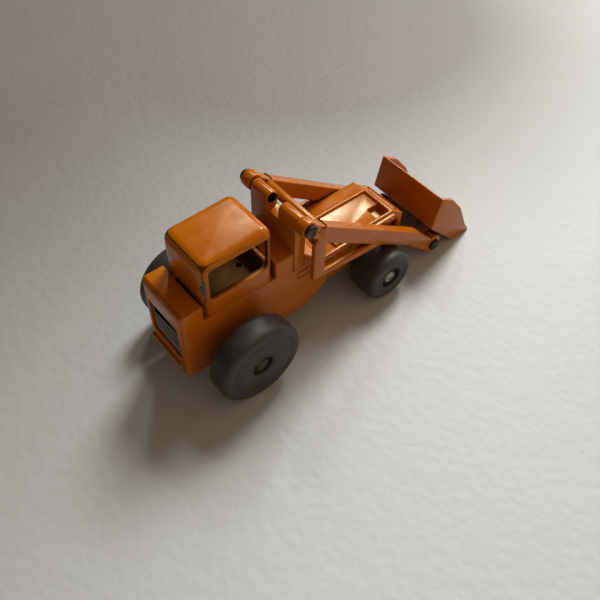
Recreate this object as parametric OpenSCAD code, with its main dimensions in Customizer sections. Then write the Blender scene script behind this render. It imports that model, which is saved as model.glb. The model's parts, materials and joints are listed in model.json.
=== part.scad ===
// Pocket-sized die-cast loading shovel: rear cab, mast, lift arms and a tipping bucket.
// X runs from the rear face to the bucket lip, Y to the left, Z up from the ground.
// The origin is under the middle of the toy, on the ground.

/* [Body] */
// Height of the deck above the ground
deck_z = 20.2; // [18.5:0.1:24]
// Width of the body casting
body_w = 10.8; // [9:0.1:13]
// Length of the body from its rear face to the front of the mast
body_len = 23.7; // [22.5:0.1:29]
// Height of the belly above the ground
belly_z = 5.0; // [4:0.1:5.4]
// Wall thickness of the castings
cast_t = 1.2; // [0.9:0.05:1.4]
// Rounding of the deck's rear edge and of the upright corners
body_round = 1.0; // [0.3:0.1:1.5]
// Width of the chassis between the front wheels
chassis_w = 7.0; // [5.8:0.1:8.4]
// Gap between the bonnet plate and each arm
bonnet_arm_gap = 0.2; // [0.1:0.05:0.5]
// Thickness of the bonnet plate
bonnet_t = 1.2; // [0.8:0.05:1.5]
// Length of the sloping nose
nose_len = 3.1; // [2.0:0.1:3.6]
// Width of the nose
nose_w = 9.2; // [7.6:0.1:10.4]
// Distance that the lip under the grille stands out behind the rear face
lip_out = 0.6; // [0.3:0.05:0.8]

/* [Rear grille] */
// Width of the opening in the rear face
grille_w = 8.0; // [6:0.1:8.4]
// Height of the opening in the rear face
grille_h = 7.4; // [6:0.1:7.9]
// Distance from the deck down to the opening
grille_drop = 3.9; // [3.5:0.1:4.4]
// Depth of the grille below the rear face
grille_recess = 0.5; // [0.2:0.05:0.7]
// Number of slats in the grille
grille_slats = 6; // [3:1:7]

/* [Cab] */
// Distance from the rear face to the cab
cab_x = 4.5; // [3:0.1:5.5]
// Length of the cab
cab_len = 13.2; // [10:0.1:14.5]
// Height of the roof above the deck
cab_h = 7.9; // [6:0.1:9]
// Depth of the cab's skirt below the deck
skirt_h = 3.4; // [1.2:0.1:3.6]
// Wall thickness of the cab
cab_t = 0.9; // [0.6:0.05:1.2]
// Rounding of the roof
roof_round = 1.6; // [0.8:0.1:2.2]
// Thickness of the window pillars
pillar_w = 1.0; // [0.7:0.1:1.6]

/* [Mast] */
// Height of the lift pivot above the deck
pivot_h = 6.5; // [5:0.1:8]
// Distance from the mast's front face back to the lift pivot
pivot_back = 1.1; // [1.0:0.1:1.4]
// Thickness of the mast, front to back
mast_t = 2.2; // [2.0:0.1:2.8]
// Width of the notch in the mast's top edge
mast_notch_w = 2.8; // [1.5:0.1:4]
// Depth of the notch below the lift pivot
mast_notch_d = 1.7; // [1:0.1:3]
// Width of the mast past the body, on each side
mast_over = 0.3; // [0.1:0.05:0.6]

/* [Wheels] */
// Radius of a rear wheel
rear_wheel_r = 7.8; // [6.5:0.1:9.4]
// Width of a rear wheel
rear_wheel_w = 4.6; // [3.8:0.1:5.6]
// Radius of a front wheel
front_wheel_r = 5.1; // [4.2:0.1:6.2]
// Width of a front wheel
front_wheel_w = 6.5; // [5.4:0.1:7.8]
// Distance from the rear face to the rear axle
rear_axle_x = 9.8; // [8.6:0.1:10.5]
// Distance between the axles
wheelbase = 31.1; // [30:0.1:38]
// Distance from the body's side to a rear wheel
rear_wheel_gap = 2.7; // [1.5:0.1:3.5]
// Distance from the chassis side to a front wheel
front_wheel_gap = 0.5; // [0.4:0.1:1.2]
// Radius of an axle
axle_r = 0.75; // [0.6:0.05:0.9]
// Radius of the formed end of an axle
axle_head_r = 1.25; // [1.0:0.05:1.5]

/* [Lift arms] */
// Thickness of an arm
arm_t = 2.0; // [1.4:0.1:2.4]
// Thickness of an arm's lower web, which is flush with its outer face
web_t = 0.9; // [0.7:0.05:1.0]
// Depth of the main beam
beam_d = 3.0; // [2.2:0.1:3.4]
// Depth of the lower chord
chord_d = 0.9; // [0.7:0.1:1.3]
// Width of the upright at the back of the arm
upright_w = 2.5; // [1.8:0.1:3]
// Length of that upright below the lift pivot
upright_h = 12.7; // [10:0.1:13.5]
// Radius of the ear round the lift pivot
ear_r = 1.45; // [1.35:0.05:1.8]
// Radius of the arm's tip round the bucket pivot
tip_r = 1.95; // [1.7:0.05:2.1]
// Gap between an arm and the mast
arm_gap = 0.1; // [0.05:0.05:0.3]
// Clearance between an arm and the front wheel's tread
arm_wheel_gap = 0.35; // [0.3:0.05:0.8]
// Radius of the rivets that the arms and the bucket turn on
pivot_r = 0.7; // [0.5:0.05:0.8]
// Radius of the rivet heads
rivet_head_r = 1.15; // [1.0:0.05:1.3]
// Radius of the tube between the two arms
tube_r = 0.85; // [0.7:0.05:1.0]

/* [Bucket] */
// Width of the bucket
bucket_w = 15.8; // [14.5:0.1:19]
// Height of the bucket's back above the ground
bucket_h = 14.6; // [11:0.1:17]
// Distance from the bucket pivot forward to the lip
bucket_reach = 10.6; // [9:0.1:13]
// Wall thickness of the bucket
bucket_t = 0.9; // [0.7:0.05:1.1]
// Height of the bucket pivot above the ground
bucket_pin_z = 2.6; // [2.4:0.1:3]

/* [Fits] */
// Radial clearance of what turns on a rivet or an axle
run_fit = 0.06; // [0.02:0.01:0.1]
// Radial clearance of what is fixed in a hole
fixed_fit = 0.02; // [0.01:0.01:0.05]
// End float between parts that slide past each other
side_fit = 0.15; // [0.1:0.05:0.3]

/* [Hidden] */
$fn = 48;

body_hw = body_w / 2;
chassis_hw = chassis_w / 2;
nose_hw = nose_w / 2;
cut = 1;                                  // how far a cut runs past the surface it opens
sink = 0.1;                               // how far joined solids run into each other

// axles and wheels
front_axle_x = rear_axle_x + wheelbase;
rear_wheel_in = body_hw + rear_wheel_gap;
front_wheel_in = chassis_hw + front_wheel_gap;
boss_r = axle_r + 1.1;
head_t = 0.6;                             // thickness of an axle's formed end
hub_depth = 1.1;                          // depth of the recess in a wheel's outer face
rear_hub_r = 2.0;
front_hub_r = 2.2;
tyre_round = 1.1;                         // rounding of a tyre's shoulders

// mast and lift pivot
pivot_x = body_len - pivot_back;
pivot_z = deck_z + pivot_h;
mast_hw = body_hw + mast_over;
mast_top_r = mast_t / 2;
mast_top_z = pivot_z + mast_top_r;
mast_root = 4;                            // how far the mast runs down into the body
arm_in = mast_hw + arm_gap;
arm_out = arm_in + arm_t;

// bonnet: its plate clears the front wheels, and its sides the arms
bonnet_z = 2 * front_wheel_r + 4.8;
bonnet_hw = arm_in - bonnet_arm_gap;
bonnet_end = front_axle_x + front_wheel_r - 1;
nose_x = bonnet_end + nose_len;
nose_drop = 2;                            // fall of the nose plate's top edge
nose_low_z = bonnet_z - 7;
foot_x = body_len + 5.6;                  // front end of the wide part of the body
foot_cut = [4, 3.2];                      // chamfer under that end
fairing_run = 4;                          // slope between the mast's foot and the bonnet
fairing_h = 4;
rib_w = 0.6;
rib_h = 0.45;
rib_left_y = 2.7;
rib_right_y = -4.9;
rib_back = foot_x + 2;
pocket_len = 2.6;
pocket_y = -1.5;
chassis_rise = 0.5;                       // step up from the belly to the chassis

// lip across the rear face, under the grille
lip_h = 0.7;
lip_drop = 1.5;

// arm: the beam's lower edge starts at the upright and clears the front wheel
upright_x = pivot_x + 1.3;
upright_front = upright_x + upright_w;
beam_start = [upright_front, pivot_z - 5.1];
wheel_mid = [front_axle_x, front_wheel_r];
to_wheel = wheel_mid - beam_start;
beam_a = atan2(to_wheel[1], to_wheel[0]) + asin((front_wheel_r + arm_wheel_gap) / norm(to_wheel));
beam_dir = [cos(beam_a), sin(beam_a)];
beam_up = [-sin(beam_a), cos(beam_a)];
bucket_pin_x = front_axle_x + front_wheel_r + 9.4;
knee_back = 7.4;                          // distance from the bucket pivot back to the knee
beam_len = (bucket_pin_x - knee_back - beam_start[0]) / beam_dir[0];
knee_low = beam_start + beam_len * beam_dir;
knee_slant = 0.6;                         // how far the knee's top is ahead of its foot
knee_top = knee_low + beam_d * beam_up + knee_slant * beam_dir;
back_run = upright_w / beam_dir[0];
beam_back = beam_start + beam_d * beam_up - back_run * beam_dir;
chord_low_z = pivot_z - upright_h;
chord_run = 0.62 * beam_len;              // where the lower chord meets the beam
chord_end = beam_start + chord_run * beam_dir;
web_solid = 3.2;                          // length of solid web where the chord meets the beam
truss_end = beam_start + (chord_run - web_solid) * beam_dir;
tube_at = [pivot_x + 2.6, pivot_z - 1.7];
spigot_r = 0.6 * tube_r;
root_rise = 0.5;                          // the beam's rear corner above its lower edge
ear_blend = [0.6, -0.4];                  // where the ear's upper edge runs into the beam
neck_top = [-0.35, 0.94];                 // where the neck meets the tip, in tip radii from the pivot
neck_front = [0.5, -0.86];
neck_low = [-0.75, -0.66];

// bucket: its sloping back clears the arm's tip all round the pivot
tip_gap = 0.4;
slope_d = tip_r + tip_gap;
slope_a = 45;
slope_n = [cos(slope_a), sin(slope_a)];
slope_t = [-sin(slope_a), cos(slope_a)];
slope_len = 5.2;                          // from the pivot's level up to the bucket's back
bucket_pin = [bucket_pin_x, bucket_pin_z];
slope_mid = bucket_pin + slope_d * slope_n;
slope_low = [slope_mid[0] + slope_mid[1], 0];
slope_top = slope_mid + slope_len * slope_t;
back_lean = 0.22;                         // run of the bucket's back for each unit of rise
back_top = [slope_top[0] + back_lean * (bucket_h - slope_top[1]), bucket_h];
lip_x = bucket_pin_x + bucket_reach;
lip_edge = 0.5;                           // height of the lip's blunt front edge
side_foot = [lip_x - 1.4, 2.6];           // outline of the bucket's cheeks, from the lip up
side_mid = [bucket_pin_x + 6.1, bucket_h * 0.6];
side_top = [bucket_pin_x + 2.9, bucket_h * 0.86];
lug_out = arm_in - side_fit;
lug_t = 1.1;
lug_r = tip_r - 0.1;
lug_hw = 1.4;
lug_sink = 0.3;                           // how far a lug's root runs into the bucket's back
lug_bore_past = 0.05;                     // how far a lug's bore runs past its outer face
inner_top = [1, 0.35];                    // inner corners of the bucket's back, in wall thicknesses
inner_low = [0.45, 1];
bucket_rivet_past = 0.3;                  // length of a bucket rivet past the inside of its lug

// rivets under the belly and in the cab floor
base_rivet_r = 0.9;
base_rivet_head_r = 1.6;
base_rivet_depth = 5;
rivet_head_t = 0.5;
rivet_end_gap = 0.2;                      // space past a rivet's end in its hole
post_r = 1.9;
base_t = 1.0;
base_gap = 0.1;
base_end = foot_x - foot_cut[0] - cast_t - base_gap;
rivet_recess = 0.55;                      // depth of the recesses that the base rivets' heads lie in
base_rivet_xs = [cast_t + 2.6, body_len - 5.2];
cab_rivet_inset = 3.0;
cab_rivet_xs = [cab_x + cab_rivet_inset, cab_x + cab_len - cab_rivet_inset];
cab_rivet_r = 0.7;
cab_rivet_head_r = 1.2;
cab_floor_t = 0.9;
cab_end_gap = 0.3;
least_round = 0.3;                        // rounding inside a thick-walled roof
sill_h = 0.2;                             // window sill above the deck
head_h = 1.3;                             // window head below the roof

// grille
grille_edge = 0.6;
grille_gap = 0.05;
slat_depth = 0.4;

// the toy's rear end is the lip, or the rear wheel's tread where that is further back
rear_end = min(-lip_out, rear_axle_x - rear_wheel_r);
mid_x = (rear_end + lip_x) / 2;

module placed() {
    translate([-mid_x, 0, 0]) children();
}

// a profile drawn in X and Z, extruded from y0 to y1
module slab(y0, y1) {
    translate([0, y1, 0]) rotate([90, 0, 0]) linear_extrude(y1 - y0) children();
}

// a round bar along Y
module y_bar(at, r, y0, y1) {
    translate([at[0], y0, at[1]]) rotate([-90, 0, 0]) cylinder(r = r, h = y1 - y0);
}

// a box given by its two opposite corners
module block(a, b) {
    translate(a) cube(b - a);
}

module both_sides() {
    children();
    mirror([0, 1, 0]) children();
}

module on_side(side) {
    mirror([0, side < 0 ? 1 : 0, 0]) children();
}

function arc(mid, r, a0, a1, n = 8) =
    [for (i = [0 : n]) mid + r * [cos(a0 + (a1 - a0) * i / n), sin(a0 + (a1 - a0) * i / n)]];

rear_axle_at = [rear_axle_x, rear_wheel_r];
front_axle_at = [front_axle_x, front_wheel_r];
pivot_at = [pivot_x, pivot_z];

// Body

module rear_body_profile() {
    r = body_round;
    polygon(concat(
        [[0, belly_z], [foot_x - foot_cut[0], belly_z], [foot_x, belly_z + foot_cut[1]]],
        [[foot_x, bonnet_z - sink], [body_len + fairing_run, bonnet_z - sink]],
        [[body_len, bonnet_z + fairing_h], [body_len, deck_z]],
        arc([r, deck_z - r], r, 90, 180)));
}

// what the two rounded upright corners of the rear end lose
module rear_corners() {
    r = body_round;
    both_sides() difference() {
        block([-cut, body_hw - r, 0], [r, body_hw + cut, deck_z + cut]);
        translate([r, body_hw - r, -cut]) cylinder(r = r, h = deck_z + 3 * cut);
    }
}

module mast() {
    slab(-mast_hw, mast_hw)
        polygon(concat(
            [[body_len - mast_t, deck_z - mast_root], [body_len, deck_z - mast_root]],
            arc(pivot_at, mast_top_r, 0, 180, 16)));
}

module bonnet() {
    under = bonnet_z - bonnet_t;
    difference() {
        union() {
            block([body_len - cast_t, -bonnet_hw, under], [bonnet_end, bonnet_hw, bonnet_z]);
            slab(-nose_hw, nose_hw)
                polygon([[bonnet_end - cut, under], [bonnet_end - cut, bonnet_z], [bonnet_end, bonnet_z],
                    [nose_x, bonnet_z - nose_drop], [nose_x, nose_low_z], [nose_x - cast_t, nose_low_z],
                    [nose_x - cast_t, under - nose_drop], [bonnet_end, under]]);
            bonnet_rib();
        }
        pocket();
    }
}

// raised rib round the middle of the bonnet
module bonnet_rib() {
    difference() {
        block([rib_back, rib_right_y, bonnet_z - sink], [bonnet_end, rib_left_y, bonnet_z + rib_h]);
        block([rib_back + rib_w, rib_right_y + rib_w, bonnet_z - cut],
              [bonnet_end - rib_w, rib_left_y - rib_w, bonnet_z + cut]);
    }
}

module pocket() {
    x1 = bonnet_end - rib_w;
    block([x1 - pocket_len, rib_right_y + rib_w, bonnet_z - bonnet_t - cut], [x1, pocket_y, bonnet_z + cut]);
}

module chassis() {
    block([foot_x - cast_t, -chassis_hw, belly_z + chassis_rise],
          [nose_x - cast_t + sink, chassis_hw, bonnet_z - bonnet_t + sink]);
    y_bar(front_axle_at, boss_r, -chassis_hw, chassis_hw);
}

module body_hollow() {
    hw = body_hw - cast_t;
    mast_back = body_len - mast_t - cast_t;
    foot_back = foot_x - foot_cut[0] - cast_t;
    block([cast_t, -hw, belly_z - cut], [mast_back, hw, deck_z - skirt_h - cast_t]);
    block([mast_back - sink, -hw, belly_z - cut], [foot_back, hw, bonnet_z - bonnet_t]);
    block([foot_x - cast_t - sink, cast_t - chassis_hw, 0],
          [nose_x - 2 * cast_t, chassis_hw - cast_t, bonnet_z - bonnet_t]);
}

module body_casting() {
    placed() color("darkorange") difference() {
        union() {
            difference() {
                union() {
                    difference() {
                        slab(-body_hw, body_hw) rear_body_profile();
                        rear_corners();
                    }
                    mast();
                    bonnet();
                    chassis();
                    rear_lip();
                }
                body_hollow();
                cab_seat();
                grille_opening();
            }
            both_sides() rear_axle_boss();
            base_posts();
        }
        y_bar(rear_axle_at, axle_r + fixed_fit, -rear_wheel_in, rear_wheel_in);
        y_bar(front_axle_at, axle_r + fixed_fit, -front_wheel_in, front_wheel_in);
        y_bar(pivot_at, pivot_r + fixed_fit, -mast_hw - cut, mast_hw + cut);
        mast_notch();
        for (x = base_rivet_xs)
            translate([x, 0, belly_z - cut]) cylinder(r = base_rivet_r + fixed_fit, h = cut + base_t + base_rivet_depth);
        for (x = cab_rivet_xs)
            translate([x, 0, deck_z - skirt_h - cast_t - cut])
                cylinder(r = cab_rivet_r + fixed_fit, h = cast_t + 2 * cut);
    }
}

// the cab stands in a seat cut across the deck
module cab_seat() {
    block([cab_x - cab_end_gap, -body_hw - cut, deck_z - skirt_h],
          [cab_x + cab_len + cab_end_gap, body_hw + cut, deck_z + cut]);
}

module rear_lip() {
    z = deck_z - grille_drop - grille_h - lip_drop;
    hw = body_hw - body_round;
    block([-lip_out, -hw, z - lip_h / 2], [cast_t, hw, z + lip_h / 2]);
}

module grille_opening() {
    z1 = deck_z - grille_drop;
    block([-cut, -grille_w / 2, z1 - grille_h], [cast_t + cut, grille_w / 2, z1]);
}

module rear_axle_boss() {
    y_bar(rear_axle_at, boss_r, body_hw - cast_t, rear_wheel_in - side_fit);
}

module base_posts() {
    z0 = belly_z + base_t;
    for (x = base_rivet_xs)
        translate([x, 0, z0]) cylinder(r = post_r, h = deck_z - skirt_h - cast_t / 2 - z0);
}

module mast_notch() {
    hw = mast_notch_w / 2;
    block([body_len - mast_t - cut, -hw, pivot_z - mast_notch_d], [body_len + cut, hw, mast_top_z + cut]);
}

// Cab

module cab_section(inset, floor_z) {
    hw = body_hw - inset;
    r = max(roof_round - inset, least_round);
    top = deck_z + cab_h - inset;
    polygon(concat(
        [[-hw, floor_z], [hw, floor_z]],
        arc([hw - r, top - r], r, 0, 90),
        arc([r - hw, top - r], r, 90, 180)));
}

// a section drawn in Y and Z, extruded from x0 to x1
module x_slab(x0, x1) {
    translate([x0, 0, 0]) rotate([90, 0, 90]) linear_extrude(x1 - x0) children();
}

module cab_casting() {
    x1 = cab_x + cab_len;
    foot = deck_z - skirt_h;
    sill = deck_z + sill_h;
    head = deck_z + cab_h - head_h;
    placed() color("orange") difference() {
        x_slab(cab_x, x1) cab_section(0, foot);
        x_slab(cab_x + cab_t, x1 - cab_t) cab_section(cab_t, foot + cab_floor_t);
        roof_rear_cut();
        block([cab_x + pillar_w, -body_hw - cut, sill], [x1 - pillar_w, body_hw + cut, head]);
        block([x1 - cab_t - cut, pillar_w - body_hw, sill], [x1 + cut, body_hw - pillar_w, head]);
        for (x = cab_rivet_xs)
            translate([x, 0, foot - cut]) cylinder(r = cab_rivet_r + fixed_fit, h = cab_floor_t + 2 * cut);
    }
}

// what the rounded rear edge of the roof loses
module roof_rear_cut() {
    r = roof_round;
    top = deck_z + cab_h;
    difference() {
        block([cab_x - cut, -body_hw - cut, top - r], [cab_x + r, body_hw + cut, top + cut]);
        y_bar([cab_x + r, top - r], r, -body_hw - 2 * cut, body_hw + 2 * cut);
    }
}

// Base plate, grille and rivets

module base_plate() {
    hw = body_hw - cast_t - base_gap;
    placed() color("dimgray") difference() {
        block([cast_t + base_gap, -hw, belly_z], [base_end, hw, belly_z + base_t]);
        for (x = base_rivet_xs) {
            translate([x, 0, belly_z - cut]) cylinder(r = base_rivet_r + fixed_fit, h = base_t + 2 * cut);
            translate([x, 0, belly_z - cut]) cylinder(r = base_rivet_head_r + base_gap, h = cut + rivet_recess);
        }
    }
}

module base_rivet(x) {
    placed() color("silver") translate([x, 0, 0]) {
        translate([0, 0, belly_z + rivet_recess - rivet_head_t]) cylinder(r = base_rivet_head_r, h = rivet_head_t);
        translate([0, 0, belly_z + rivet_recess - sink])
            cylinder(r = base_rivet_r, h = sink + base_t - rivet_recess + base_rivet_depth - rivet_end_gap);
    }
}

// its head is inside the body, and its end is flush with the cab's floor
module cab_rivet(x) {
    under = deck_z - skirt_h - cast_t;
    placed() color("silver") translate([x, 0, 0]) {
        translate([0, 0, under - rivet_head_t]) cylinder(r = cab_rivet_head_r, h = rivet_head_t);
        translate([0, 0, under - sink]) cylinder(r = cab_rivet_r, h = sink + cast_t + cab_floor_t);
    }
}

module grille_insert() {
    z1 = deck_z - grille_drop - grille_gap;
    z0 = z1 - grille_h + 2 * grille_gap;
    hw = grille_w / 2 - grille_gap;
    e = grille_edge;
    x0 = grille_recess;
    back = x0 + slat_depth;
    slat = (z1 - z0 - 2 * e) / (2 * grille_slats - 1);
    placed() color("slategray") union() {
        block([back, -hw, z0], [cast_t, hw, z1]);
        difference() {
            block([x0, -hw, z0], [back + sink, hw, z1]);
            block([x0 - cut, e - hw, z0 + e], [back, hw - e, z1 - e]);
        }
        for (i = [0 : grille_slats - 1])
            block([x0, e / 2 - hw, z0 + e + 2 * i * slat], [back + sink, hw - e / 2, z0 + e + (2 * i + 1) * slat]);
    }
}

// Lift arms

module beam_profile() {
    polygon([beam_back, knee_top, knee_low, beam_start, [upright_x, beam_start[1] + root_rise]]);
    neck_profile();
    translate(pivot_at) circle(r = ear_r);
    polygon([pivot_at + [0, ear_r], beam_back + ear_blend, beam_start, pivot_at - [0, ear_r]]);
}

// the bent neck from the beam's knee to the tip
module neck_profile() {
    polygon([knee_low, knee_top, bucket_pin + tip_r * neck_top, bucket_pin + tip_r * neck_front,
        bucket_pin + tip_r * neck_low]);
    translate(bucket_pin) circle(r = tip_r);
}

// upright and lower chord, with the triangle between them and the beam cut out
module web_profile() {
    difference() {
        polygon([[upright_x, beam_start[1] + 1], [upright_x, chord_low_z], chord_end,
            beam_start + beam_len / 2 * beam_dir + beam_up, beam_start + beam_up]);
        polygon([beam_start, [upright_front, chord_low_z + chord_d], truss_end]);
    }
}

module arm() {
    difference() {
        union() {
            slab(arm_in, arm_out) beam_profile();
            slab(arm_out - web_t, arm_out) web_profile();
        }
        y_bar(pivot_at, pivot_r + run_fit, arm_in - cut, arm_out + cut);
        y_bar(bucket_pin, pivot_r + fixed_fit, arm_in - cut, arm_out + cut);
        y_bar(tube_at, spigot_r + fixed_fit, arm_in - cut, arm_out + cut);
    }
}

module left_arm() {
    placed() color("darkorange") arm();
}

module right_arm() {
    placed() color("darkorange") mirror([0, 1, 0]) arm();
}

// spacer tube with a thinner spigot into each arm
module arm_cross_tube() {
    placed() color("orange") union() {
        y_bar(tube_at, tube_r, -arm_in, arm_in);
        y_bar(tube_at, spigot_r, -arm_out, arm_out);
    }
}

module lift_rivet(side) {
    head = arm_out + side_fit;
    placed() color("silver") on_side(side) union() {
        y_bar(pivot_at, pivot_r, mast_notch_w / 2, head + sink);
        y_bar(pivot_at, rivet_head_r, head, head + rivet_head_t);
    }
}

// Bucket

module bucket_outline() {
    polygon([back_top, slope_top, slope_low, [lip_x, 0], [lip_x, lip_edge], side_foot, side_mid, side_top]);
}

// the space inside, open to the front and to the top
module bucket_inside() {
    t = bucket_t;
    polygon([back_top + [t, cut], slope_top + t * inner_top, slope_low + t * inner_low,
        [lip_x + cut, t], [lip_x + cut, bucket_h + cut]]);
}

module bucket_lug() {
    root = slope_mid + lug_sink * slope_n;
    difference() {
        union() {
            translate(bucket_pin) circle(r = lug_r);
            polygon([bucket_pin + lug_r * slope_t, bucket_pin - lug_r * slope_t,
                root - lug_hw * slope_t, root + lug_hw * slope_t]);
        }
        translate([bucket_pin_x - bucket_reach, -2 * cut]) square([2 * bucket_reach, 2 * cut]);
    }
}

module bucket() {
    hw = bucket_w / 2;
    placed() color("darkorange") difference() {
        union() {
            difference() {
                slab(-hw, hw) bucket_outline();
                slab(bucket_t - hw, hw - bucket_t) bucket_inside();
            }
            both_sides() slab(lug_out - lug_t, lug_out) bucket_lug();
        }
        both_sides() y_bar(bucket_pin, pivot_r + run_fit, 0, lug_out + lug_bore_past);
    }
}

module bucket_rivet(side) {
    placed() color("silver") on_side(side) union() {
        y_bar(bucket_pin, pivot_r, lug_out - lug_t - bucket_rivet_past, arm_out + sink);
        y_bar(bucket_pin, rivet_head_r, arm_out, arm_out + rivet_head_t);
    }
}

// Axles and wheels

module axle(at, inner, width) {
    hub = inner + width - hub_depth + side_fit;
    placed() color("silver") union() {
        y_bar(at, axle_r, -hub - sink, hub + sink);
        both_sides() y_bar(at, axle_head_r, hub, hub + head_t);
    }
}

// outline of a wheel's upper half: distance along the axle, then radius
module wheel_outline(r, w, hub_r) {
    s = tyre_round;
    bore = axle_r + run_fit;
    polygon(concat(
        [[0, bore], [0, r - s]],
        arc([s, r - s], s, 180, 90),
        arc([w - s, r - s], s, 90, 0),
        [[w, hub_r], [w - hub_depth, hub_r], [w - hub_depth, bore]]));
}

module wheel(at, inner, w, hub_r, side) {
    placed() color("dimgray") on_side(side) translate([at[0], inner, at[1]])
        rotate([-90, 0, 0]) rotate_extrude($fn = 72)
            rotate([0, 0, 90]) mirror([0, 1]) wheel_outline(at[1], w, hub_r);
}

module rear_wheel(side) {
    wheel(rear_axle_at, rear_wheel_in, rear_wheel_w, rear_hub_r, side);
}

module front_wheel(side) {
    wheel(front_axle_at, front_wheel_in, front_wheel_w, front_hub_r, side);
}

body_casting();
cab_casting();
base_plate();
grille_insert();
left_arm();
right_arm();
arm_cross_tube();
lift_rivet(1);  // left_lift_rivet
lift_rivet(-1);  // right_lift_rivet
bucket();
bucket_rivet(1);  // left_bucket_rivet
bucket_rivet(-1);  // right_bucket_rivet
axle(rear_axle_at, rear_wheel_in, rear_wheel_w);  // rear_axle
axle(front_axle_at, front_wheel_in, front_wheel_w);  // front_axle
rear_wheel(1);  // rear_left_wheel
rear_wheel(-1);  // rear_right_wheel
front_wheel(1);  // front_left_wheel
front_wheel(-1);  // front_right_wheel
base_rivet(base_rivet_xs[0]);  // rear_base_rivet
base_rivet(base_rivet_xs[1]);  // front_base_rivet
cab_rivet(cab_rivet_xs[0]);  // rear_cab_rivet
cab_rivet(cab_rivet_xs[1]);  // front_cab_rivet
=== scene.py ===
import json
import math

import bpy
from mathutils import Matrix, Vector

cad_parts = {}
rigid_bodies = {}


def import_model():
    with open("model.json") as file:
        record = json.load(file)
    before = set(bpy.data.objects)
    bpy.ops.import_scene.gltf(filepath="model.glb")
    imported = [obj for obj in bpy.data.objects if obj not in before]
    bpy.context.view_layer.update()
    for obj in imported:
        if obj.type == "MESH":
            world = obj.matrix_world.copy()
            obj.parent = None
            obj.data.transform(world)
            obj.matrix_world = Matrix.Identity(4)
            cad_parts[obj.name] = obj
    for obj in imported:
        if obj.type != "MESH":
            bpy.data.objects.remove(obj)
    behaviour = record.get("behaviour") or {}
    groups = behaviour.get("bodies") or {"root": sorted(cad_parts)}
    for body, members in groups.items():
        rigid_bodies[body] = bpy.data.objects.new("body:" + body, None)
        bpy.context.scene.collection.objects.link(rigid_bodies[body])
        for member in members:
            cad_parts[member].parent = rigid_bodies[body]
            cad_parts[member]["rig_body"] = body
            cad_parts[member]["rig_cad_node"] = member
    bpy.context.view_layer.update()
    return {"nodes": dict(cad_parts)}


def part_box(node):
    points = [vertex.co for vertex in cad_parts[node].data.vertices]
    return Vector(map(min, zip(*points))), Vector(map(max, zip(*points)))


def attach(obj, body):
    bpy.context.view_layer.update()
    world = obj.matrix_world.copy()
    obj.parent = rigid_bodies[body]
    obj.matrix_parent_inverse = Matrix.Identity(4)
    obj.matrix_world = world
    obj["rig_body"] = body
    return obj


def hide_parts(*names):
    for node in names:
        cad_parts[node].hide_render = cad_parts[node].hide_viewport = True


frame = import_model()
mm = 0.001


# ---- small tools

def only(piece):
    if bpy.context.mode != "OBJECT":
        bpy.ops.object.mode_set(mode="OBJECT")
    bpy.ops.object.select_all(action="DESELECT")
    piece.select_set(True)
    bpy.context.view_layer.objects.active = piece


def editing(piece, kind="FACE"):  # into edit mode with nothing selected
    only(piece)
    bpy.ops.object.mode_set(mode="EDIT")
    bpy.ops.mesh.select_mode(type=kind)
    bpy.ops.mesh.select_all(action="DESELECT")


def pickFaces(piece, test):
    editing(piece, "FACE")
    bpy.ops.object.mode_set(mode="OBJECT")
    for face in piece.data.polygons:
        face.select = test(face.center, face.normal)
    bpy.ops.object.mode_set(mode="EDIT")


def pickEdges(piece, test):  # test is given the two ends
    editing(piece, "EDGE")
    bpy.ops.object.mode_set(mode="OBJECT")
    points = piece.data.vertices
    for edge in piece.data.edges:
        edge.select = test(points[edge.vertices[0]].co, points[edge.vertices[1]].co)
    bpy.ops.object.mode_set(mode="EDIT")


def bevelPicked(width, segments, profile=0.5):
    bpy.ops.mesh.bevel(offset=width, segments=segments, profile=profile, affect="EDGES", clamp_overlap=True)
    bpy.ops.object.mode_set(mode="OBJECT")


def addModifier(piece, kind, **settings):  # added and applied at once
    only(piece)
    modifier = piece.modifiers.new(kind.title(), kind)
    for key, value in settings.items():
        setattr(modifier, key, value)
    bpy.ops.object.modifier_apply(modifier=modifier.name)


def atOrigin(piece, name):  # its place goes into its mesh
    only(piece)
    bpy.ops.object.transform_apply(location=True, rotation=True, scale=True)
    piece.name = name
    piece.data.name = name
    return piece


def block(name, low, high):
    low, high = Vector(low), Vector(high)
    bpy.ops.mesh.primitive_cube_add(size=1, location=(low + high) / 2, scale=high - low)
    return atOrigin(bpy.context.active_object, name)


def drum(name, x, z, radius, y0, y1, sides=64):  # a round bar along Y
    bpy.ops.mesh.primitive_cylinder_add(vertices=sides, radius=radius, depth=abs(y1 - y0),
                                        location=(x, (y0 + y1) / 2, z), rotation=(math.pi / 2, 0, 0))
    return atOrigin(bpy.context.active_object, name)


def cutAway(piece, cutter):
    addModifier(piece, "BOOLEAN", object=cutter, operation="DIFFERENCE", solver="EXACT")
    bpy.data.objects.remove(cutter)


def smooth(piece, angle=35):
    only(piece)
    bpy.ops.object.shade_smooth_by_angle(angle=math.radians(angle))


def tidyMesh(piece, gap=1e-7):
    editing(piece, "VERT")
    bpy.ops.mesh.select_all(action="SELECT")
    bpy.ops.mesh.remove_doubles(threshold=gap)
    bpy.ops.mesh.normals_make_consistent(inside=False)
    bpy.ops.object.mode_set(mode="OBJECT")


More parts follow.
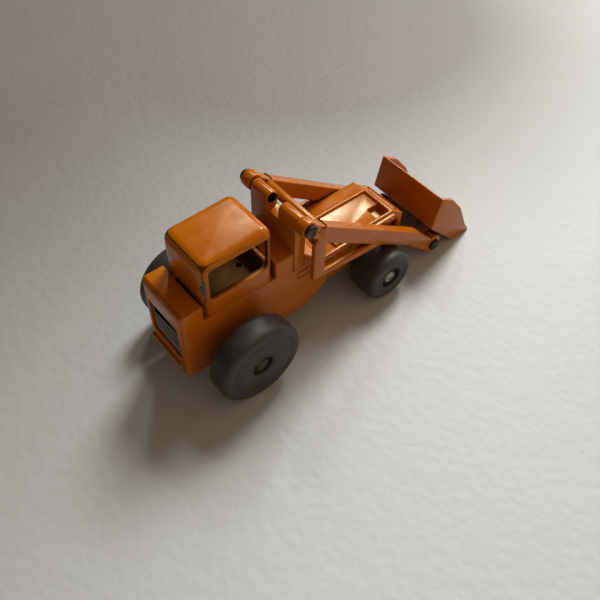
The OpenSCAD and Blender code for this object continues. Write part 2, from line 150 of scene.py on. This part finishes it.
def fromNode(node, name):  # a merged copy of a CAD node, with its flat faces whole
    piece = frame["nodes"][node].copy()
    piece.data = piece.data.copy()
    piece.parent = None
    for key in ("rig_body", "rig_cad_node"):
        del piece[key]
    bpy.context.scene.collection.objects.link(piece)
    piece.name = name
    piece.data.name = name
    piece.data.materials.clear()
    editing(piece, "VERT")
    bpy.ops.mesh.select_all(action="SELECT")
    bpy.ops.mesh.remove_doubles(threshold=2e-6)
    bpy.ops.mesh.dissolve_limited(angle_limit=math.radians(0.6), use_dissolve_boundaries=False)
    bpy.ops.object.mode_set(mode="OBJECT")
    return piece


def softEdges(piece, width, segments=3, angle=32):
    addModifier(piece, "BEVEL", width=width, segments=segments, limit_method="ANGLE",
                angle_limit=math.radians(angle), miter_outer="MITER_ARC", use_clamp_overlap=False)


def twin(piece, name):  # the same piece on the toy's other side
    copy = piece.copy()
    copy.data = piece.data.copy()
    bpy.context.scene.collection.objects.link(copy)
    copy.name = name
    copy.data.name = name
    copy.data.transform(Matrix.Scale(-1, 4, (0, 1, 0)))
    copy.data.flip_normals()
    return copy


def place(piece, body, slotName, material, *nodes):
    piece.data.materials.clear()
    piece.data.materials.append(material)
    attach(piece, body)
    if nodes:
        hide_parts(*nodes)
    return piece


# ---- sizes, all read from the frame

cabLow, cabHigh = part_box("cab_casting")
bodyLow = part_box("body_casting")[0]
bucketLow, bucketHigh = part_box("bucket")
print("stage: frame read")


# ---- camera, floor and light

camera = dict(place=(-59.62, -62.39, 101.34), right=(0.77115, -0.63611, 0.02635),
              up=(0.48231, 0.61071, 0.62802), back=(-0.41558, -0.47159, 0.77775), lens=41.79)


def makeCamera():
    data = bpy.data.cameras.new("camera")
    data.lens = camera["lens"]
    data.clip_start = 0.005
    seat = bpy.data.objects.new("camera", data)
    turn = Matrix((camera["right"], camera["up"], camera["back"])).transposed()
    seat.matrix_world = Matrix.Translation(Vector(camera["place"]) * mm) @ turn.to_4x4()
    bpy.context.scene.collection.objects.link(seat)
    bpy.context.scene.camera = seat


def makeLight(name, azimuth, elevation, away, size, power, colour, aim=(0, 0, 0.01)):  # angles in degrees
    lamp = bpy.data.lights.new(name, "AREA")
    lamp.shape = "RECTANGLE"
    lamp.size, lamp.size_y = size
    lamp.energy = power
    lamp.color = colour
    a, e = math.radians(azimuth), math.radians(elevation)
    toward = Vector((math.cos(a) * math.cos(e), math.sin(a) * math.cos(e), math.sin(e)))
    spot = bpy.data.objects.new(name, lamp)
    spot.location = Vector(aim) + toward * away
    spot.rotation_euler = toward.to_track_quat("Z", "Y").to_euler()
    bpy.context.scene.collection.objects.link(spot)


room = dict(colour=(1.0, 0.71, 0.46, 1), brightSide=(0.35, -0.85, 0.25), dark=0.06, bright=0.52)


def makeWorld():
    world = bpy.data.worlds.new("studio")
    world.use_nodes = True
    tree = world.node_tree
    sky = tree.nodes["Background"]
    sky.inputs["Color"].default_value = room["colour"]
    toward = wire(tree, "TexCoord")
    side = wire(tree, "VectorMath", {0: toward, 1: room["brightSide"]}, 1, operation="DOT_PRODUCT")
    tree.links.new(level(tree, side, -0.3, 1.0, room["dark"], room["bright"]), sky.inputs["Strength"])
    bpy.context.scene.world = world
    bpy.context.scene.view_settings.view_transform = "Standard"
    bpy.context.scene.view_settings.look = "None"


# ---- material tools

def wire(tree, kind, inputs=None, output=0, **settings):
    node = tree.nodes.new("ShaderNode" + kind)
    for key, value in settings.items():
        setattr(node, key, value)
    for key, value in (inputs or {}).items():
        if isinstance(value, bpy.types.NodeSocket):
            tree.links.new(value, node.inputs[key])
        else:
            node.inputs[key].default_value = value
    return node.outputs[output]


def startMaterial(name):
    material = bpy.data.materials.new(name)
    material.use_nodes = True
    tree = material.node_tree
    return material, tree, tree.nodes["Principled BSDF"], wire(tree, "TexCoord", output=3)


def grain(tree, spot, scale, detail=3, rough=0.5):
    return wire(tree, "TexNoise", {"Vector": spot, "Scale": scale, "Detail": detail, "Roughness": rough})


def level(tree, value, low, high, toLow=0.0, toHigh=1.0):
    return wire(tree, "MapRange", {"Value": value, "From Min": low, "From Max": high, "To Min": toLow,
                                   "To Max": toHigh}, interpolation_type="SMOOTHSTEP")


def blendColour(tree, share, first, second):
    return wire(tree, "Mix", {0: share, 6: first, 7: second}, 2, data_type="RGBA")


def calc(tree, operation, first, second=0.0):
    return wire(tree, "Math", {0: first, 1: second}, operation=operation)


def edgeShare(tree, radius):  # high where the surface turns sharply
    rounded = wire(tree, "Bevel", {"Radius": radius}, samples=6)
    normal = wire(tree, "NewGeometry", output=1)
    same = wire(tree, "VectorMath", {0: rounded, 1: normal}, 1, operation="DOT_PRODUCT")
    return calc(tree, "SUBTRACT", 1.0, same)


def spotShare(tree, spot, marks, ragged):  # high inside ragged ellipsoids
    total = None
    for centre, radii in marks:
        away = wire(tree, "VectorMath", {0: spot, 1: centre}, operation="SUBTRACT")
        away = wire(tree, "VectorMath", {0: away, 1: radii}, operation="DIVIDE")
        reach = wire(tree, "VectorMath", {0: away}, 1, operation="LENGTH")
        reach = calc(tree, "ADD", reach, ragged)
        mark = level(tree, reach, 1.15, 0.95)
        total = mark if total is None else calc(tree, "MAXIMUM", total, mark)
    return total


def colour(*channels):
    return (*channels, 1.0)


enamel = dict(body=colour(0.43, 0.108, 0.0), light=colour(0.47, 0.124, 0.0), deep=colour(0.35, 0.080, 0.0),
              # this dark colour darkens the bare metal at random, and it is also painted shade in the
              # paint's corners and creases
              metal=colour(0.20, 0.205, 0.22), dirt=colour(0.035, 0.016, 0.004),
              # inside is painted shade, the dark paint in the cab's hollow
              inside=colour(0.085, 0.034, 0.003), tint=colour(1.0, 0.86, 0.52), level=0.38,
              roughness=(0.20, 0.32), insideRoughness=0.85, bareRoughness=0.2, bareMetallic=0.75,
              wearRadius=0.35 * mm, wearEdge=(0.16, 0.22), shadeReach=1.2 * mm, relief=0.05 * mm)
enamelGrain = dict(broad=130, patches=260, gloss=420, ragged=900, fine=1500)  # noise scales, coarse to fine


def insideShare(tree, spot, low, high):  # one inside a box, nothing outside it
    middle, half = (low + high) / 2, (high - low) / 2
    away = wire(tree, "VectorMath", {0: spot, 1: middle}, operation="SUBTRACT")
    away = wire(tree, "VectorMath", {0: away, 1: half}, operation="DIVIDE")
    away = wire(tree, "VectorMath", {0: away}, operation="ABSOLUTE")
    parts = wire(tree, "SeparateXYZ", {0: away}).node.outputs
    reach = calc(tree, "MAXIMUM", calc(tree, "MAXIMUM", parts[0], parts[1]), parts[2])
    return calc(tree, "LESS_THAN", reach, 1.0)


def orangeEnamel(name, marks=(), wear=0.5, shadedBox=None):  # more wear rubs the edges wider
    material, tree, shader, spot = startMaterial(name)
    broad = grain(tree, spot, enamelGrain["broad"], 2)
    fine = grain(tree, spot, enamelGrain["fine"], 4, 0.6)
    ragged = grain(tree, spot, enamelGrain["ragged"], 4, 0.65)
    patches = grain(tree, spot, enamelGrain["patches"], 3)
    paint = blendColour(tree, level(tree, broad, 0.35, 0.7), enamel["body"], enamel["light"])
    paint = blendColour(tree, level(tree, patches, 0.52, 0.75, 0, 0.6), paint, enamel["deep"])
    # painted shade: ambient occlusion darkens the paint in corners and creases
    cornerShade = wire(tree, "AmbientOcclusion", {"Distance": enamel["shadeReach"]}, 1, samples=6)
    paint = blendColour(tree, level(tree, cornerShade, 0.75, 0.25, 0, 0.75), paint, enamel["dirt"])
    raggedness = level(tree, ragged, 0.42, 0.7, 0.2, 2.2)
    edge = calc(tree, "MULTIPLY", edgeShare(tree, enamel["wearRadius"]), raggedness)
    low, high = enamel["wearEdge"]
    bare = level(tree, edge, low / wear, high / wear)
    gloss = level(tree, grain(tree, spot, enamelGrain["gloss"], 3), 0.3, 0.75, *enamel["roughness"])
    # painted shade: inside the given box the paint is darkened to the inside colour and made rougher
    if shadedBox:
        inner = insideShare(tree, spot, *shadedBox)
        paint = blendColour(tree, inner, paint, enamel["inside"])
        gloss = calc(tree, "MAXIMUM", gloss, calc(tree, "MULTIPLY", inner, enamel["insideRoughness"]))
    if marks:
        chips = spotShare(tree, spot, marks, calc(tree, "MULTIPLY", ragged, 0.9))
        bare = calc(tree, "MAXIMUM", bare, chips)
    metal = blendColour(tree, level(tree, fine, 0.4, 0.7), enamel["metal"], enamel["dirt"])
    tree.links.new(blendColour(tree, bare, paint, metal), shader.inputs["Base Color"])
    tree.links.new(calc(tree, "MULTIPLY", bare, enamel["bareMetallic"]), shader.inputs["Metallic"])
    shader.inputs["Specular Tint"].default_value = enamel["tint"]
    shader.inputs["Specular IOR Level"].default_value = enamel["level"]
    rubbed = calc(tree, "MULTIPLY", bare, enamel["bareRoughness"])
    tree.links.new(calc(tree, "ADD", gloss, rubbed), shader.inputs["Roughness"])
    height = calc(tree, "SUBTRACT", calc(tree, "MULTIPLY", fine, 0.35), bare)
    height = calc(tree, "ADD", height, calc(tree, "MULTIPLY", broad, 0.5))
    bump = wire(tree, "Bump", {"Height": height, "Distance": enamel["relief"], "Strength": 0.6})
    tree.links.new(bump, shader.inputs["Normal"])
    return material


rubber = dict(deep=colour(0.024, 0.025, 0.024), body=colour(0.042, 0.041, 0.037),
              rubbed=colour(0.10, 0.10, 0.095), dust=colour(0.085, 0.08, 0.07))


def greyTyre():
    material, tree, shader, spot = startMaterial("greyTyre")
    broad = grain(tree, spot, 240, 4)
    fine = grain(tree, spot, 2600, 5, 0.7)
    base = blendColour(tree, level(tree, broad, 0.3, 0.7), rubber["deep"], rubber["body"])
    edge = calc(tree, "MULTIPLY", edgeShare(tree, 0.4 * mm), level(tree, fine, 0.4, 0.7, 0.3, 1.8))
    base = blendColour(tree, level(tree, edge, 0.03, 0.2, 0, 0.5), base, rubber["rubbed"])
    dust = level(tree, grain(tree, spot, 700, 6, 0.7), 0.55, 0.8, 0, 0.5)
    tree.links.new(blendColour(tree, dust, base, rubber["dust"]), shader.inputs["Base Color"])
    tree.links.new(level(tree, fine, 0.3, 0.8, 0.5, 0.72), shader.inputs["Roughness"])
    height = calc(tree, "ADD", calc(tree, "MULTIPLY", fine, 0.4), calc(tree, "MULTIPLY", broad, 0.5))
    tree.links.new(wire(tree, "Bump", {"Height": height, "Distance": 0.05 * mm, "Strength": 0.5}),
                   shader.inputs["Normal"])
    return material


def dullSteel(name, bright, dark):
    material, tree, shader, spot = startMaterial(name)
    stain = grain(tree, spot, 900, 5, 0.6)
    fine = grain(tree, spot, 5000, 3)
    base = blendColour(tree, level(tree, stain, 0.4, 0.65), bright, dark)
    tree.links.new(base, shader.inputs["Base Color"])
    shader.inputs["Metallic"].default_value = 0.9
    tree.links.new(level(tree, stain, 0.35, 0.7, 0.3, 0.6), shader.inputs["Roughness"])
    bump = wire(tree, "Bump", {"Height": fine, "Distance": 0.02 * mm, "Strength": 0.4})
    tree.links.new(bump, shader.inputs["Normal"])
    return material


slats = dict(deep=colour(0.12, 0.14, 0.15), body=colour(0.21, 0.21, 0.20), rubbed=colour(0.3, 0.3, 0.29))


def grilleGrey():
    material, tree, shader, spot = startMaterial("grilleGrey")
    broad = grain(tree, spot, 500, 4, 0.6)
    fine = grain(tree, spot, 2500, 4)
    base = blendColour(tree, level(tree, broad, 0.35, 0.7), slats["deep"], slats["body"])
    edge = calc(tree, "MULTIPLY", edgeShare(tree, 0.15 * mm), level(tree, fine, 0.35, 0.7, 0.4, 2.0))
    base = blendColour(tree, level(tree, edge, 0.04, 0.2, 0, 0.6), base, slats["rubbed"])
    tree.links.new(base, shader.inputs["Base Color"])
    tree.links.new(level(tree, broad, 0.3, 0.7, 0.42, 0.62), shader.inputs["Roughness"])
    bump = wire(tree, "Bump", {"Height": fine, "Distance": 0.03 * mm, "Strength": 0.5})
    tree.links.new(bump, shader.inputs["Normal"])
    return material


shade = dict(toward=(0.272, -0.962, 0), span=(-0.086, 0.052), patch=(0.070, 0.050, 0),
             patchReach=0.082, patchDepth=0.60, dark=colour(0.198, 0.190, 0.166),
             light=colour(0.595, 0.645, 0.685), width=1.6)  # the floor is darker on the toy's left as painted light falloff, and the patch is a painted soft shadow


def paleFloor():
    material, tree, shader, spot = startMaterial("paleFloor")
    pebble = wire(tree, "TexVoronoi", {"Vector": spot, "Scale": 620, "Randomness": 1.0}, feature="SMOOTH_F1")
    soft = grain(tree, spot, 900, 3)
    # painted light: the colour runs from dark to light along toward, and a painted shadow darkens it round
    # patch
    along = wire(tree, "VectorMath", {0: spot, 1: shade["toward"]}, 1, operation="DOT_PRODUCT")
    share = level(tree, along, *shade["span"])
    far = wire(tree, "VectorMath", {0: spot, 1: shade["patch"]}, 1, operation="DISTANCE")
    share = calc(tree, "SUBTRACT", share, level(tree, far, shade["patchReach"], 0, 0, shade["patchDepth"]))
    clouds = level(tree, grain(tree, spot, 18, 2), 0.3, 0.7, -0.02, 0.02)
    share = calc(tree, "ADD", share, clouds)
    tree.links.new(blendColour(tree, share, shade["dark"], shade["light"]), shader.inputs["Base Color"])
    shader.inputs["Roughness"].default_value = 0.55
    height = calc(tree, "ADD", pebble, calc(tree, "MULTIPLY", soft, 0.5))
    bump = wire(tree, "Bump", {"Height": height, "Distance": 0.12 * mm, "Strength": 0.5})
    tree.links.new(bump, shader.inputs["Normal"])
    return material


lights = dict(
    window=dict(azimuth=27, elevation=47, size=(0.42, 0.50), power=20.0, colour=(1.0, 0.985, 0.95)),
    windowEdge=dict(azimuth=53, elevation=45, size=(0.14, 0.20), power=2.6, colour=(1.0, 0.985, 0.95)),
    doorway=dict(azimuth=20, elevation=10, size=(0.7, 0.30), power=5.0, colour=(1.0, 0.95, 0.88)))

makeCamera()
makeWorld()
for name, settings in lights.items():
    makeLight(name, away=1.5, **settings)
bpy.ops.mesh.primitive_plane_add(size=shade["width"], location=(0, 0, 0))
floor = atOrigin(bpy.context.active_object, "floor")
floor.data.materials.append(paleFloor())
print("stage: studio ready")


# ---- wheels

tyre = dict(shoulder=1.1 * mm, shoulderSteps=7, bore=0.81 * mm, sides=96, backRing=1.2 * mm,
            grooves=((0.45 * mm, 0), (0.65 * mm, -0.14 * mm), (1.1 * mm, 0), (1.3 * mm, 0.14 * mm)),
            hubDepth=1.1 * mm, hubLip=0.25 * mm, hubDish=0.2 * mm, hubDraft=0.1 * mm)


def makeWheel(node, name, hubRadius):
    low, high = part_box(node)
    x, z, radius = (low.x + high.x) / 2, (low.z + high.z) / 2, (high.z - low.z) / 2
    piece = drum(name, x, z, radius, low.y, high.y, tyre["sides"])
    middle = Vector((x, 0, z))
    outer = high.y
    rim = lambda a, b: abs(a.y - b.y) < 1e-6 and abs(a.y - outer) < 1e-6
    inner = lambda a, b: abs(a.y - b.y) < 1e-6 and abs(a.y - low.y) < 1e-6
    for test in (rim, inner):
        pickEdges(piece, test)
        bevelPicked(tyre["shoulder"], tyre["shoulderSteps"])
    flat = radius - tyre["shoulder"]
    steps = [(flat - inward, push) for inward, push in tyre["grooves"]]
    steps += [(hubRadius + tyre["hubLip"], 0), (hubRadius, -tyre["hubDish"]),
              (hubRadius - tyre["hubDraft"], tyre["hubDish"] - tyre["hubDepth"]), (tyre["bore"], 0)]
    reach = flat
    pickFaces(piece, lambda centre, normal: normal.y > 0.999 and abs(centre.y - outer) < 1e-6)
    for target, push in steps:  # each inset ring is pushed in or out
        bpy.ops.mesh.inset(thickness=reach - target, use_even_offset=True)
        bpy.ops.transform.translate(value=(0, push, 0))
        reach = target
    bpy.ops.mesh.delete(type="FACE")
    bpy.ops.object.mode_set(mode="OBJECT")
    pickFaces(piece, lambda centre, normal: normal.y < -0.999 and abs(centre.y - low.y) < 1e-6)
    bpy.ops.mesh.inset(thickness=flat - tyre["bore"] - tyre["backRing"], use_even_offset=True)
    bpy.ops.mesh.inset(thickness=tyre["backRing"], use_even_offset=True)
    bpy.ops.mesh.delete(type="FACE")
    bpy.ops.object.mode_set(mode="OBJECT")
    near = tyre["bore"] + 0.05 * mm
    pickEdges(piece, lambda a, b: all((Vector((p.x, 0, p.z)) - middle).length < near for p in (a, b)))
    bpy.ops.mesh.bridge_edge_loops()
    bpy.ops.object.mode_set(mode="OBJECT")
    tidyMesh(piece)
    smooth(piece, 40)
    return piece


tyreGrey = greyTyre()
for end, hubRadius in (("rear", 2.0 * mm), ("front", 2.2 * mm)):
    left = makeWheel(f"{end}_left_wheel", f"{end}LeftTyre", hubRadius)
    right = twin(left, f"{end}RightTyre")
    place(left, f"wheel_{end}_left", "grey_wheel", tyreGrey, f"{end}_left_wheel")
    place(right, f"wheel_{end}_right", "grey_wheel", tyreGrey, f"{end}_right_wheel")
print("stage: wheels made")


# ---- cab

cab = dict(rearCorner=1.9 * mm, frontCorner=1.6 * mm, roofRound=2.0 * mm, roofRise=0.25 * mm,
           wall=0.9 * mm, pillar=1.0 * mm, rearPillarExtra=0.35 * mm, frontPillarExtra=0.2 * mm,
           sill=3.6 * mm, head=1.3 * mm, windowRound=0.55 * mm, edge=0.14 * mm)


def makeCab():
    piece = block("cab", cabLow, cabHigh)
    inRoof = lambda a, b: min(a.z, b.z) > cabHigh.z - mm
    atEnd = lambda x: (lambda a, b: abs(a.x - x) < 1e-6 and abs(b.x - x) < 1e-6)
    upright = lambda x: (lambda a, b: abs(a.z - b.z) > mm and atEnd(x)(a, b))
    for x, rise in ((cabLow.x, -cab["roofRise"]), (cabHigh.x, cab["roofRise"])):  # the roof rises forward
        pickEdges(piece, lambda a, b: inRoof(a, b) and atEnd(x)(a, b))
        bpy.ops.transform.translate(value=(0, 0, rise))
        bpy.ops.object.mode_set(mode="OBJECT")
    pickEdges(piece, upright(cabLow.x))
    bevelPicked(cab["rearCorner"], 8)
    pickEdges(piece, upright(cabHigh.x))
    bevelPicked(cab["frontCorner"], 6)
    pickEdges(piece, inRoof)
    bevelPicked(cab["roofRound"], 8)
    inside = piece.copy()
    inside.data = piece.data.copy()
    bpy.context.scene.collection.objects.link(inside)
    centre = (cabLow + cabHigh) / 2
    shrink = tuple((span - 2 * cab["wall"]) / span for span in cabHigh - cabLow)
    editing(inside, "VERT")
    bpy.ops.mesh.select_all(action="SELECT")
    bpy.ops.transform.resize(value=shrink, center_override=centre)
    bpy.ops.object.mode_set(mode="OBJECT")
    cutAway(piece, inside)
    sill, head = cabLow.z + cab["sill"], cabHigh.z - cab["head"]
    sideWindow = block("cutter", (cabLow.x + cab["pillar"] + cab["rearPillarExtra"], cabLow.y - mm, sill),
                       (cabHigh.x - cab["pillar"], cabHigh.y + mm, head))
    pickEdges(sideWindow, lambda a, b: abs(a.y - b.y) > mm)
    bevelPicked(cab["windowRound"], 4)
    cutAway(piece, sideWindow)
    frontPillar = cab["pillar"] + cab["frontPillarExtra"]
    frontWindow = block("cutter", (cabHigh.x - 2 * mm, cabLow.y + frontPillar, sill),
                        (cabHigh.x + mm, cabHigh.y - frontPillar, head))
    pickEdges(frontWindow, lambda a, b: abs(a.x - b.x) > mm)
    bevelPicked(cab["windowRound"], 4)
    cutAway(piece, frontWindow)
    tidyMesh(piece, 1e-6)
    addModifier(piece, "BEVEL", width=cab["edge"], segments=2, limit_method="ANGLE",
                angle_limit=math.radians(50), use_clamp_overlap=False)
    smooth(piece, 40)
    return piece


def chip(x, y, z, *radii):  # middle in metres, radii in millimetres
    return (x, y, z), tuple(radius * mm for radius in radii)


cabMarks = [chip(cabLow.x + 0.5 * mm, cabLow.y + 0.6 * mm, cabLow.z + 6.3 * mm, 0.8, 0.8, 3.5),
            chip(cabHigh.x - 0.2 * mm, cabLow.y + 0.3 * mm, cabLow.z + 8.2 * mm, 0.9, 0.9, 2.4),
            chip(cabLow.x + 0.2 * mm, cabHigh.y - 0.8 * mm, cabLow.z + 3.0 * mm, 1.0, 1.5, 1.1)]
# painted shade: the cab's hollow, inset from its outer box, is painted dark
shadeInset = Vector((0.5, 0.5, 0.5)) * mm
cabShadeBox = (cabLow + shadeInset, cabHigh - shadeInset)
cabEnamel = orangeEnamel("cabEnamel", cabMarks, shadedBox=cabShadeBox)
place(makeCab(), "chassis", "orange_enamel", cabEnamel, "cab_casting")
print("stage: cab made")


# ---- body casting

softened = dict(body=0.22 * mm, arm=0.25 * mm, tube=0.12 * mm, bucket=0.16 * mm, pin=0.22 * mm,
                grille=0.07 * mm, plate=0.15 * mm)  # rounding of each piece's edges


def softCopy(node, name, width, segments=3, angle=32, smoothAngle=35):
    piece = fromNode(node, name)
    softEdges(piece, width, segments, angle)
    smooth(piece, smoothAngle)
    return piece


bodyMarks = [chip(cabHigh.x + along, bodyLow.y, bodyLow.z + up, 0.95, 0.7, 0.8)
             for along, up in ((0.9 * mm, 7.7 * mm), (2.2 * mm, 8.7 * mm), (3.5 * mm, 9.8 * mm))]
body = softCopy("body_casting", "body", softened["body"])
place(body, "chassis", "orange_enamel", orangeEnamel("bodyEnamel", bodyMarks), "body_casting")
print("stage: body made")


# ---- arms, bucket and small parts

armEnamel = orangeEnamel("armEnamel")
leftArm = softCopy("left_arm", "leftArm", softened["arm"])
rightArm = twin(leftArm, "rightArm")
place(leftArm, "lift_arms", "orange_enamel", armEnamel, "left_arm")
place(rightArm, "lift_arms", "orange_enamel", armEnamel, "right_arm")
tube = softCopy("arm_cross_tube", "crossTube", softened["tube"], 2)
place(tube, "lift_arms", "orange_enamel", armEnamel, "arm_cross_tube")

bucketMarks = [chip(bucketHigh.x, bucketLow.y + 1.2 * mm, 0.6 * mm, 1.5, 2.2, 0.9)]
bucket = softCopy("bucket", "bucketCasting", softened["bucket"])
place(bucket, "bucket", "orange_enamel", orangeEnamel("bucketEnamel", bucketMarks), "bucket")

rubbedSteel = dullSteel("rubbedSteel", colour(0.36, 0.35, 0.34), colour(0.11, 0.085, 0.065))
darkSteel = dullSteel("darkSteel", colour(0.085, 0.070, 0.055), colour(0.035, 0.025, 0.016))
rubbedPins = ("front_axle", "rear_cab_rivet", "front_cab_rivet")
for node, bodyName in (("left_lift_rivet", "chassis"), ("right_lift_rivet", "chassis"),
                       ("left_bucket_rivet", "lift_arms"), ("right_bucket_rivet", "lift_arms"),
                       ("rear_axle", "chassis"), ("front_axle", "chassis"),
                       ("rear_base_rivet", "chassis"), ("front_base_rivet", "chassis"),
                       ("rear_cab_rivet", "chassis"), ("front_cab_rivet", "chassis")):
    words = node.split("_")
    pinName = words[0] + "".join(word.title() for word in words[1:])
    pin = softCopy(node, pinName, softened["pin"], 4, 50, 40)
    place(pin, bodyName, "steel_wire", rubbedSteel if node in rubbedPins else darkSteel, node)

grille = softCopy("grille_insert", "grille", softened["grille"], 2)
place(grille, "chassis", "grille_grey", grilleGrey(), "grille_insert")
basePlate = softCopy("base_plate", "basePlate", softened["plate"])
plateEnamel = orangeEnamel("plateEnamel", wear=0.8)
place(basePlate, "chassis", "bare_casting", plateEnamel, "base_plate")
print("stage: small parts made")
